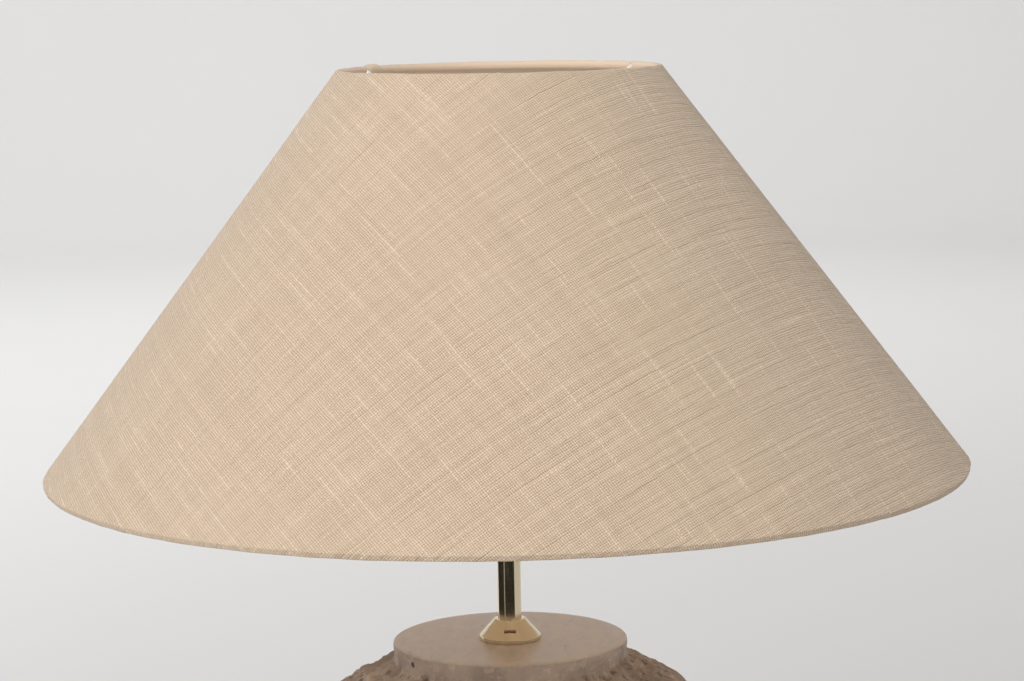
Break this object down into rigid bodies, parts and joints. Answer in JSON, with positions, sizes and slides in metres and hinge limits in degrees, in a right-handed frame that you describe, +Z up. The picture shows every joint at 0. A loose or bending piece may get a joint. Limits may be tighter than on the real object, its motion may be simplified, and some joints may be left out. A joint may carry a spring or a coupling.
{
  "type": "table lamp",
  "caption": "Table lamp with a rough cast jar base, brass stem and harp, and a wide linen cone shade on a wire frame.",
  "frame": {"origin": "centre of the felt pad's underside, on the surface the lamp stands on", "axes": "+Z up along the stem, the front with the switch key faces -Y"},
  "size_m": [0.5, 0.5, 0.6137],
  "materials": {
    "stone": "rough, with a smooth top",
    "board": "pressed board",
    "felt": "felt",
    "black_rubber": "matt",
    "steel": "zinc plated",
    "polished_brass": "polished",
    "brass_plated_steel": "brass plated",
    "brass": "plain",
    "liner_card": "paper board",
    "dark_plastic": "moulded",
    "solder": "solder",
    "black_glass": "glassy",
    "nickel": "nickel plated",
    "bulb_plastic": "moulded",
    "circuit_board": "white",
    "opal": "opal",
    "linen": "slub weave",
    "lining": "coated card",
    "white_enamel": "gloss"
  },
  "bodies": {
    "lamp_base": {"base_body": "stone", "base_cover": "board", "felt_pad": "felt", "cord_bush": "black_rubber", "threaded_rod": "steel", "rod_washer": "steel", "lock_washer": "steel", "rod_nut": "steel", "collar": "polished_brass", "cover_tube": "polished_brass", "harp_saddle": "brass_plated_steel", "harp": "brass_plated_steel", "socket_cap": "polished_brass", "socket_shell": "polished_brass", "socket_liner": "liner_card", "socket_body": "dark_plastic", "terminal_screws": "brass", "screw_shell": "brass", "centre_contact": "brass"},
    "swivel_stud": {"harp_stud": "brass"},
    "shade": {"shade_cover": "linen", "shade_lining": "lining", "top_frame": "white_enamel", "bottom_ring": "white_enamel"},
    "finial_thread": {"finial_insert": "brass"},
    "finial": {"finial_knob": "polished_brass"},
    "bulb_tip": {"bulb_contact": "solder"},
    "bulb": {"bulb_insulator": "black_glass", "bulb_cap": "nickel", "bulb_housing": "bulb_plastic", "bulb_led_plate": "circuit_board", "bulb_dome": "opal"},
    "switch_key": {"key_shaft": "brass", "key_knob": "dark_plastic"},
    "left_ferrule": {"ferrule_left": "polished_brass"},
    "right_ferrule": {"ferrule_right": "polished_brass"}
  },
  "joints": [
    {"name": "shade_turn", "type": "hinge", "parent": "lamp_base", "child": "swivel_stud", "pos_m": [0, 0, 0.583], "axis": [0, 0, 1], "continuous": true},
    {"name": "shade_lift", "type": "slide", "parent": "swivel_stud", "child": "shade", "axis": [0, 0, 1], "range_m": [0, 0.2]},
    {"name": "finial_rise", "type": "slide", "parent": "shade", "child": "finial_thread", "axis": [0, 0, 1], "range_m": [0, 0.0113]},
    {"name": "finial_turn", "type": "hinge", "parent": "finial_thread", "child": "finial", "pos_m": [0, 0, 0.59], "axis": [0, 0, 1], "range_deg": [0, 4320]},
    {"name": "bulb_rise", "type": "slide", "parent": "lamp_base", "child": "bulb_tip", "axis": [0, 0, 1], "range_m": [0, 0.0145]},
    {"name": "bulb_turn", "type": "hinge", "parent": "bulb_tip", "child": "bulb", "pos_m": [0, 0, 0.47], "axis": [0, 0, 1], "range_deg": [0, 1440]},
    {"name": "key_turn", "type": "hinge", "parent": "lamp_base", "child": "switch_key", "pos_m": [0, -0.025, 0.436], "axis": [0, -1, 0], "continuous": true},
    {"name": "ferrule_left_slide", "type": "slide", "parent": "lamp_base", "child": "left_ferrule", "axis": [0, 0, 1], "range_m": [0, 0.012]},
    {"name": "ferrule_right_slide", "type": "slide", "parent": "lamp_base", "child": "right_ferrule", "axis": [0, 0, 1], "range_m": [0, 0.012]}
  ],
  "couplings": [
    {"joint": "finial_rise", "follows": "finial_turn", "m_per_rad": 0.00014961},
    {"joint": "bulb_rise", "follows": "bulb_turn", "m_per_rad": 0.00057614}
  ]
}
